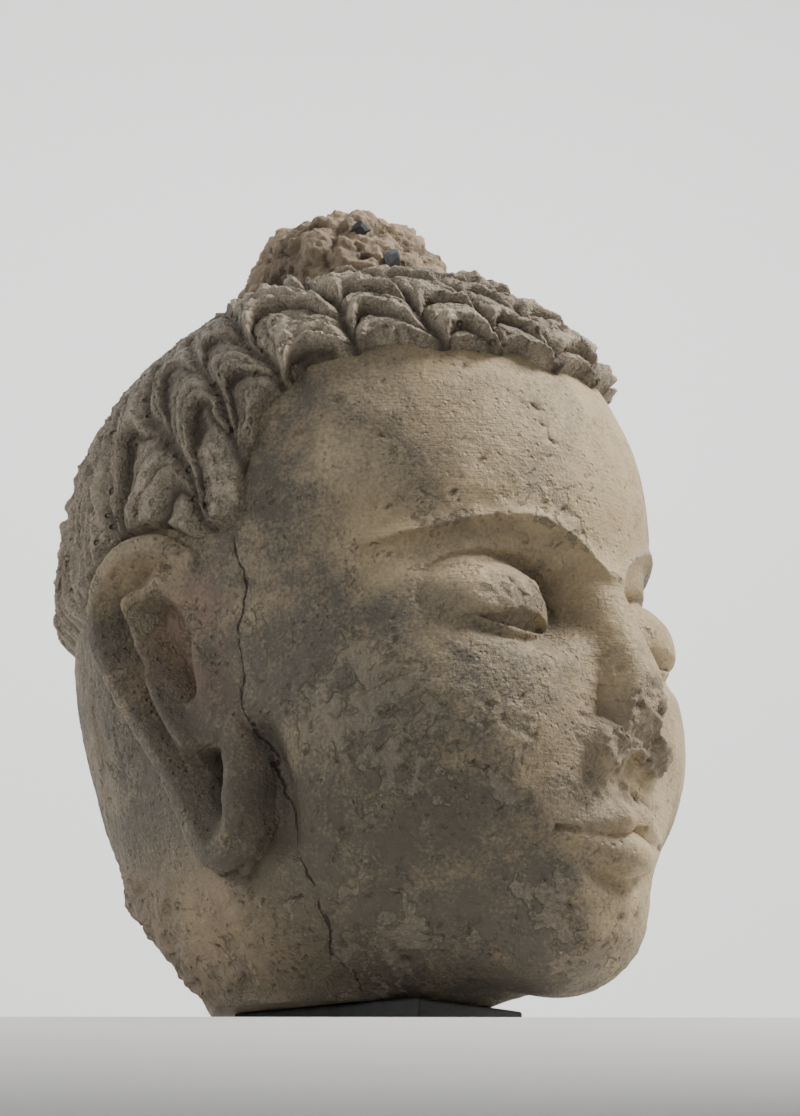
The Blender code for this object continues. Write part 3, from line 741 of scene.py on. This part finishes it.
def closed_grid(name, points, rows, columns, tones):
    """A mesh of a closed grid: four-sided faces between its rows, and a fan of triangles at each end."""
    ends = np.stack([points[:columns].mean(0), points[-columns:].mean(0)])
    first, last = rows * columns, rows * columns + 1
    column = np.arange(columns)
    beyond = (column + 1) % columns
    row = np.arange(rows - 1)[:, None] * columns
    quads = np.stack([row + column, row + columns + column, row + columns + beyond, row + beyond], -1)
    quads = quads.reshape(-1, 4)
    base = (rows - 1) * columns
    top = np.stack([np.full(columns, first), column, beyond], 1)
    bottom = np.stack([np.full(columns, last), base + beyond, base + column], 1)
    corners = np.concatenate([quads.ravel(), top.ravel(), bottom.ravel()]).astype(np.int32)
    fans = quads.size + np.arange(2 * columns) * 3
    starts = np.concatenate([np.arange(len(quads)) * 4, fans]).astype(np.int32)
    everything = np.concatenate([points, ends]).astype(np.float32)
    mesh = bpy.data.meshes.new(name)
    mesh.vertices.add(len(everything))
    mesh.vertices.foreach_set("co", placed(everything).astype(np.float32).ravel())
    mesh.loops.add(len(corners))
    mesh.loops.foreach_set("vertex_index", corners)
    mesh.polygons.add(len(starts))
    mesh.polygons.foreach_set("loop_start", starts)
    mesh.update(calc_edges=True)
    for label, values in tones.items():
        kept = mesh.attributes.new(label, "FLOAT", "POINT")
        kept.data.foreach_set("value", np.concatenate([values, values[:1], values[-1:]]).astype(np.float32))
    mesh.polygons.foreach_set("use_smooth", np.ones(len(starts), bool))
    return mesh


def thinned(mesh, triangles):
    """The mesh with its least telling edges closed up, down to about so many triangles."""
    dense = bpy.data.objects.new(mesh.name + "_dense", mesh)
    bpy.context.scene.collection.objects.link(dense)
    thin = dense.modifiers.new("thin", "DECIMATE")
    thin.ratio = min(1.0, triangles / (2 * len(mesh.polygons)))
    found = bpy.data.meshes.new_from_object(dense.evaluated_get(bpy.context.evaluated_depsgraph_get()))
    name = mesh.name
    bpy.data.objects.remove(dense)
    bpy.data.meshes.remove(mesh)
    found.name = name
    found.polygons.foreach_set("use_smooth", np.ones(len(found.polygons), bool))
    return found


def piece(name, points, rows, columns, material, tones=None, triangles=None,
          node="buddha_head"):
    """Puts a closed grid in the scene as a piece that rides on the root body and stands for a solid."""
    mesh = closed_grid(name, points, rows, columns, tones or {})
    if triangles:
        mesh = thinned(mesh, triangles)
    obj = bpy.data.objects.new(name, mesh)
    bpy.context.scene.collection.objects.link(obj)
    mesh.materials.clear()
    mesh.materials.append(material)
    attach(obj, "root")
    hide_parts(node)


# Materials

class Value:
    """A node's output: a number, colour or place that changes over the surface. Its sums are Math nodes."""

    def __init__(self, made, output=0):
        self.tree = made.id_data
        self.socket = made.outputs[output]

    def counted(self, operation, first, second):
        """One Math node on two numbers, either of which may be plain."""
        made = node(self.tree, "Math", {"operation": operation})
        feed(made.inputs[0], first)
        feed(made.inputs[1], second)
        return Value(made)

    def __add__(self, other):
        return self.counted("ADD", self, other)

    def __sub__(self, other):
        return self.counted("SUBTRACT", self, other)

    def __mul__(self, other):
        return self.counted("MULTIPLY", self, other)

    def held(self):
        """The same number, held between 0 and 1."""
        self.socket.node.use_clamp = True
        return self

    def spread(self, low, high):
        """The number stretched from low..high to 0..1, and held at both ends."""
        return Value(node(self.tree, "MapRange", Value=self, From_Min=low, From_Max=high))

    def broken(self, grain, least, more):
        """A share of colour broken up by a grain: share x (least + more x grain), held between 0 and 1."""
        return (self * (grain * more + least)).held()


def feed(entry, value):
    """Gives a node's input a plain value, or links it to one that changes over the surface."""
    if isinstance(value, Value):
        value.tree.links.new(value.socket, entry)
    else:
        entry.default_value = value


def node(tree, kind, settings=None, **inputs):
    """One shader node, with its own settings and what its named inputs are given."""
    made = tree.nodes.new("ShaderNode" + kind)
    for key, value in (settings or {}).items():
        setattr(made, key, value)
    for key, value in inputs.items():
        feed(made.inputs[key.replace("_", " ")], value)
    return made


def tinted(share, first, second):
    """Mixes two colours by a number from 0 to 1."""
    made = node(share.tree, "Mix", {"data_type": "RGBA"})
    for index, value in ((0, share), (6, first), (7, second)):
        feed(made.inputs[index], (*value, 1.0) if isinstance(value, tuple) else value)
    return Value(made, 2)


def layered(colour, layers):
    """Lays further colours over the first, each by its own share."""
    for share, paint in layers:
        colour = tinted(share, colour, paint)
    return colour


def noise(place, scale, detail=4.0, roughness=0.55, distortion=0.0):
    """Soft noise between about 0.25 and 0.75."""
    return Value(node(place.tree, "TexNoise", Vector=place, Scale=scale, Detail=detail, Roughness=roughness,
                      Distortion=distortion))


def group(name, outputs, **inputs):
    """An empty shader node group, with the place and the numbers that it is given and what it puts out."""
    tree = bpy.data.node_groups.new(name, "ShaderNodeTree")
    tree.interface.new_socket("Place", in_out="INPUT", socket_type="NodeSocketVector")
    for label, value in inputs.items():
        tree.interface.new_socket(label, in_out="INPUT", socket_type="NodeSocketFloat").default_value = value
    for label in outputs:
        tree.interface.new_socket(label, in_out="OUTPUT", socket_type="NodeSocketFloat")
    given = tree.nodes.new("NodeGroupInput")
    put = tree.nodes.new("NodeGroupOutput")
    return tree, [Value(given, label) for label in ("Place", *inputs)], put.inputs


def scaled(place, scale):
    """A place times a scale."""
    return Value(node(place.tree, "VectorMath", {"operation": "SCALE"}, Vector=place, Scale=scale))


def mottle_group():
    """Blotches, broad and fine: noise stretched so that it runs from 0 to 1."""
    tree, (place, scale), put = group("Mottle", ("Broad", "Fine"), Scale=14.0)
    place = scaled(place, scale)
    feed(put["Broad"], noise(place, 1.0, 5.0, 0.62, 0.6).spread(0.32, 0.68))
    feed(put["Fine"], noise(place, 11.0, 4.0, 0.62).spread(0.33, 0.67))
    return tree


def grain_group():
    """Grain of the stucco as a height: sand, sparse pinholes and shallow scabs where noise passes a level."""
    tree, (place, scale, pinholes), put = group("Grain", ("Height",), Scale=1.0, Pinholes=0.5)
    place = scaled(place, scale)
    sand = noise(place, 620.0, 3.0, 0.65)
    scab = noise(place, 150.0, 4.0, 0.6).spread(0.48, 0.60)
    cells = Value(node(tree, "TexVoronoi", {"feature": "F1"}, Vector=place, Scale=260.0), "Distance")
    few = noise(place, 60.0, 2.0).spread(0.50, 0.58)
    feed(put["Height"], sand * 0.55 + scab * 0.35 - cells.spread(0.30, 0.12) * pinholes * few)
    return tree


def brushed_group():
    """Level brush marks as a height: noise drawn out long across the head and fine up it."""
    tree, (place,), put = group("Brushed", ("Height",))
    drawn = node(tree, "Mapping", Vector=place, Scale=(28.0, 28.0, 820.0), Rotation=(0.05, 0.03, 0.0))
    feed(put["Height"], noise(Value(drawn), 1.0, 3.0, 0.6))
    return tree


GROUPS = {"mottle": mottle_group(), "grain": grain_group(), "brushed": brushed_group()}


def from_group(name, place, **inputs):
    """Places one of the shared groups in a material: the values that it puts out."""
    made = node(place.tree, "Group", {"node_tree": GROUPS[name]}, Place=place, **inputs)
    return [Value(made, index) for index in range(len(made.outputs))]


def tone(place, name):
    """One of the mesh's own tones."""
    return Value(node(place.tree, "Attribute", {"attribute_name": name}), "Fac")


def new_material(name):
    """A material, its plain shader's inputs, and the place of each point on the object."""
    material = bpy.data.materials.new(name)
    material.use_nodes = True
    tree = material.node_tree
    return material, tree.nodes["Principled BSDF"].inputs, Value(node(tree, "TexCoord"), "Object")


def finished(shader, colour, roughness, height, depth, specular=0.5):
    """Feeds the shader its colour, its roughness and, as a bump of the given depth in metres, its normal."""
    feed(shader["Base Color"], colour)
    feed(shader["Roughness"], roughness)
    feed(shader["Normal"], Value(node(height.tree, "Bump", Strength=1.0, Distance=depth, Height=height)))
    shader["Specular IOR Level"].default_value = specular


def stucco_face():
    """Buff stucco with darker patina and painted shade, greyer where it has flaked, an ochre neck and traces
    of pink paint.
    """
    material, shader, place = new_material("stucco_face")
    bare, patina_and_shade, pits, flake, gap, ochre, pink, slate = (tone(place, name) for name in TONES)
    broad = from_group("mottle", place, Scale=15.0)[0]
    middle, fine = from_group("mottle", place, Scale=52.0)
    flaked = (flake + fine * 0.30).spread(0.66, 0.84)
    crack = (gap + fine * 0.0010).spread(0.0025, 0.0015)
    colour = layered(tinted(broad, (0.425, 0.326, 0.192), (0.545, 0.434, 0.274)), [
        # Real patina and painted shade together: the lower, back and right side of the head and under the jaw
        # go dark brown.
        ((patina_and_shade + middle * 0.42 + fine * 0.42).spread(0.42, 1.40), (0.140, 0.121, 0.094)),
        (ochre.broken(middle, 0.45, 0.40), (0.425, 0.325, 0.200)),
        (pink.broken(middle, 0.20, 0.40), (0.370, 0.225, 0.170)),
        (slate.broken(fine, 0.40, 0.50), (0.235, 0.255, 0.270)),
        (flaked.broken(fine, 0.15, 0.60), (0.455, 0.390, 0.300)),
        (bare.broken(middle, 0.45, 0.50), (0.300, 0.242, 0.178)),
        (pits.broken(fine, 0.45, 0.50), (0.105, 0.080, 0.060)),
        (crack * 0.80, (0.040, 0.032, 0.026)),
    ])
    grain = from_group("grain", place, Scale=1.0, Pinholes=0.8)[0] * (patina_and_shade * 0.9 + 0.75 + bare)
    broken = bare.counted("MAXIMUM", bare, flaked)
    smooth = bare.counted("SUBTRACT", 1.0, broken).held()
    marks = from_group("brushed", place)[0] * smooth * 0.42
    chips = flaked * (fine * 1.1 + 0.15)
    height = grain + marks - chips - crack * 1.5
    finished(shader, colour, fine.spread(-1.2, 1.6), height, 0.00090, 0.30)
    return material


def stucco_hair():
    """Grey-brown stucco, with painted shade near black in the hollows between locks, and buff where the
    crests are rubbed.
    """
    material, shader, place = new_material("stucco_hair")
    broad = from_group("mottle", place, Scale=22.0)[0]
    middle, fine = from_group("mottle", place, Scale=70.0)
    colour = layered(tinted(broad, (0.190, 0.158, 0.120), (0.320, 0.268, 0.202)), [
        (tone(place, "worn").broken(middle, 0.35, 0.85), (0.500, 0.425, 0.322)),
        (fine.spread(0.55, 1.0).broken(middle, 0.15, 0.45), (0.570, 0.488, 0.380)),
        (fine.spread(0.46, 0.10).broken(middle, 0.25, 0.40), (0.085, 0.068, 0.052)),
        # Painted shade: near black in the hollows between locks and in the chips.
        (tone(place, "hollow").broken(fine, 0.60, 0.35), (0.050, 0.038, 0.029)),
    ])
    grain = from_group("grain", place, Scale=0.56, Pinholes=1.0)[0]
    finished(shader, colour, fine.spread(-1.4, 1.5), grain, 0.0034, 0.25)
    return material


def stucco_core():
    """The coarse core of the broken topknot: sandy crumbs, pale above, and painted shade dark in the holes.
    """
    material, shader, place = new_material("stucco_core")
    broad = from_group("mottle", place, Scale=34.0)[0]
    middle, fine = from_group("mottle", place, Scale=110.0)
    colour = layered(tinted(broad, (0.185, 0.135, 0.090), (0.350, 0.270, 0.185)), [
        (tone(place, "worn").broken(middle, 0.10, 1.20), (0.480, 0.390, 0.280)),
        # Painted shade: near black in the pits, the dent and the creases between nodules.
        (tone(place, "hollow").broken(fine, 0.70, 0.30), (0.045, 0.034, 0.026)),
    ])
    grain = from_group("grain", place, Scale=0.60, Pinholes=1.0)[0]
    finished(shader, colour, fine.spread(-1.6, 1.4), grain, 0.0013, 0.25)
    return material


def slate_stone(name, dark, light):
    """A small stone of blue-grey slate."""
    material, shader, place = new_material(name)
    colour = tinted(from_group("mottle", place, Scale=160.0)[0], dark, light)
    finished(shader, colour, 0.62, from_group("grain", place, Scale=2.0, Pinholes=0.3)[0], 0.0002)
    return material


def black_paint():
    """Satin black paint, a little uneven, rubbed to grey at its edges, where a rounded normal turns away."""
    material, shader, place = new_material("black_paint")
    broad, fine = from_group("mottle", place, Scale=60.0)
    round_normal = Value(node(place.tree, "Bevel", {"samples": 4}, Radius=0.0011))
    turned = node(place.tree, "VectorMath", {"operation": "DOT_PRODUCT"}, Vector=round_normal)
    feed(turned.inputs[1], Value(node(place.tree, "NewGeometry"), "Normal"))
    rubbed = (Value(turned, "Value").spread(0.995, 0.90) * broad).held()
    black = tinted(broad, (0.012, 0.012, 0.013), (0.026, 0.026, 0.028))
    colour = tinted(rubbed * 0.5, black, (0.10, 0.10, 0.10))
    grain = from_group("grain", place, Scale=1.2, Pinholes=0.0)[0]
    finished(shader, colour, fine.spread(-1.1, 2.4), grain, 0.00008)
    return material


def pale_sweep():
    """Plain pale paper."""
    material, shader, _ = new_material("pale_sweep")
    shader["Base Color"].default_value = (0.74, 0.74, 0.73, 1.0)
    shader["Roughness"].default_value = 0.85
    return material


# The pieces

head = traced_head()
normals = grid_normals(head, ROWS, COLUMNS)
worn_head, head_tones = worn_down(head, normals)
hair, hair_tones = combed(head, normals)
knot, knot_tones = topknot()

piece("face_and_neck", worn_head, ROWS, COLUMNS, stucco_face(), head_tones, FACE_TRIANGLES)
piece("waved_hair", hair, ROWS, COLUMNS, stucco_hair(), hair_tones, HAIR_TRIANGLES)
piece("broken_topknot", knot, KNOT_ROWS, KNOT_COLUMNS, stucco_core(), knot_tones, KNOT_TRIANGLES)
piece("pale_stone", pebble(3, (-0.072, -0.104, 1.018), (0.011, 0.011, 0.015)), STONE_ROWS, STONE_COLUMNS,
      slate_stone("pale_slate", (0.090, 0.098, 0.108), (0.190, 0.200, 0.212)))
piece("dark_stone", pebble(8, (-0.078, -0.052, 1.072), (0.013, 0.012, 0.010)), STONE_ROWS, STONE_COLUMNS,
      slate_stone("dark_slate", (0.020, 0.020, 0.024), (0.060, 0.060, 0.066)))

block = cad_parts["support_block"]
block.data.materials.clear()
block.data.materials.append(black_paint())


# Floor, light and camera

# Where the photographer's camera looks: round and up, and level ahead of it, to its right, and upright
AZIMUTH = np.radians(51.0)
PITCH = np.radians(14.1)
AHEAD = np.array([np.sin(AZIMUTH), np.cos(AZIMUTH), 0.0])
ACROSS = np.array([np.cos(AZIMUTH), -np.sin(AZIMUTH), 0.0])
UPRIGHT = np.array([0.0, 0.0, 1.0])

# The middle of the head, and how far the camera is from its axis and over the floor, in metres
MIDDLE = (0.0, 0.0, 0.22)
CAMERA_AWAY = 1.554
CAMERA_LEVEL = -0.149

# In the photo's pixels: the focal length, the photo's height, and how far right of its middle the axis stands
FOCAL_PIXELS = 3255.0
PHOTO_PIXELS = 1116.0
AXIS_OFF_MIDDLE = 365.0 - 400.0

# The height of the camera's sensor, in millimetres
SENSOR_HEIGHT = 36.0


def sweep(front, roll, drop, level, reach, height):
    """A paper sweep: level under the head, down over a rolled front edge, and rising all round like a bowl.

    Its height is that of the profile from front to back, plus height x the eased share of the way from level
    to reach, as measured out from the middle."""
    turn = np.linspace(-np.pi / 2, 0.0, 16)
    lip = np.stack([-front - roll + roll * (1 + np.sin(turn)), -roll + roll * np.cos(turn)], 1)
    before = np.stack([np.linspace(-reach, -front - roll, 40), np.full(40, -drop)], 1)
    behind = np.stack([np.linspace(-front, reach, 48)[1:], np.zeros(47)], 1)
    profile = np.concatenate([before, lip, behind])
    across = np.linspace(-reach, reach, 81)
    out = np.hypot(profile[:, None, 0], across[None, :])
    tall = profile[:, None, 1] + height * eased(level, reach, out)
    points = profile[:, None, :1] * AHEAD + across[None, :, None] * ACROSS + tall[:, :, None] * UPRIGHT
    points = points.reshape(-1, 3)
    rows, columns = len(profile), len(across)
    i = np.arange((rows - 1) * (columns - 1))
    corner = i // (columns - 1) * columns + i % (columns - 1)
    faces = np.stack([corner, corner + 1, corner + columns + 1, corner + columns], 1)
    mesh = bpy.data.meshes.new("floor")
    mesh.from_pydata(points.tolist(), [], faces.tolist())
    mesh.polygons.foreach_set("use_smooth", np.ones(len(faces), bool))
    obj = bpy.data.objects.new("floor", mesh)
    bpy.context.scene.collection.objects.link(obj)
    mesh.materials.append(pale_sweep())


def lamp(name, azimuth, elevation, distance, size, power, colour=(1.0, 1.0, 1.0), aim=MIDDLE):
    """A square soft light that stands off from the middle of the head and is aimed at one point."""
    a, e = np.radians(azimuth), np.radians(elevation)
    data = bpy.data.lights.new(name, "AREA")
    data.size = size
    data.energy = power
    data.color = colour
    obj = bpy.data.objects.new(name, data)
    away = Vector((np.sin(a) * np.cos(e), -np.cos(a) * np.cos(e), np.sin(e)))
    obj.location = Vector(MIDDLE) + distance * away
    obj.rotation_euler = (Vector(aim) - obj.location).to_track_quat("-Z", "Y").to_euler()
    bpy.context.scene.collection.objects.link(obj)


def photographer():
    """The camera: 51 degrees round to the head's right, a little below it and looking up, on a long lens."""
    yaw = np.arctan(AXIS_OFF_MIDDLE / FOCAL_PIXELS)
    level = np.cos(yaw) * AHEAD - np.sin(yaw) * ACROSS
    right = np.cos(yaw) * ACROSS + np.sin(yaw) * AHEAD
    looking = np.cos(PITCH) * level + np.sin(PITCH) * UPRIGHT
    up = -np.sin(PITCH) * level + np.cos(PITCH) * UPRIGHT
    spot = -CAMERA_AWAY * AHEAD + np.array([0.0, AXIS_BACK * HEAD_HEIGHT, CAMERA_LEVEL])
    data = bpy.data.cameras.new("camera")
    data.sensor_fit = "VERTICAL"
    data.sensor_height = SENSOR_HEIGHT
    data.lens = SENSOR_HEIGHT * FOCAL_PIXELS / PHOTO_PIXELS
    obj = bpy.data.objects.new("camera", data)
    rows = [[right[i], up[i], -looking[i], spot[i]] for i in range(3)]
    obj.matrix_world = Matrix(rows + [[0.0, 0.0, 0.0, 1.0]])
    bpy.context.scene.collection.objects.link(obj)
    bpy.context.scene.camera = obj


sweep(front=0.150, roll=0.05, drop=2.2, level=2.4, reach=4.6, height=6.0)
lamp("key", 32.0, 48.0, 1.5, 0.45, 36.0, (1.0, 0.96, 0.90))
lamp("fill", -100.0, 22.0, 2.2, 1.6, 12.0, (0.96, 0.98, 1.0))
lamp("rim", 150.0, 40.0, 1.9, 0.9, 12.0)
lamp("edge", -158.0, 24.0, 1.9, 0.5, 6.0, (1.0, 0.97, 0.92))
lamp("backdrop", 129.0, 52.0, 2.2, 1.8, 75.0, aim=tuple(3.6 * AHEAD + 1.1 * UPRIGHT))
photographer()

world = bpy.data.worlds.new("studio")
world.use_nodes = True
world.node_tree.nodes["Background"].inputs["Color"].default_value = (0.80, 0.82, 0.85, 1.0)
world.node_tree.nodes["Background"].inputs["Strength"].default_value = 0.35
bpy.context.scene.world = world
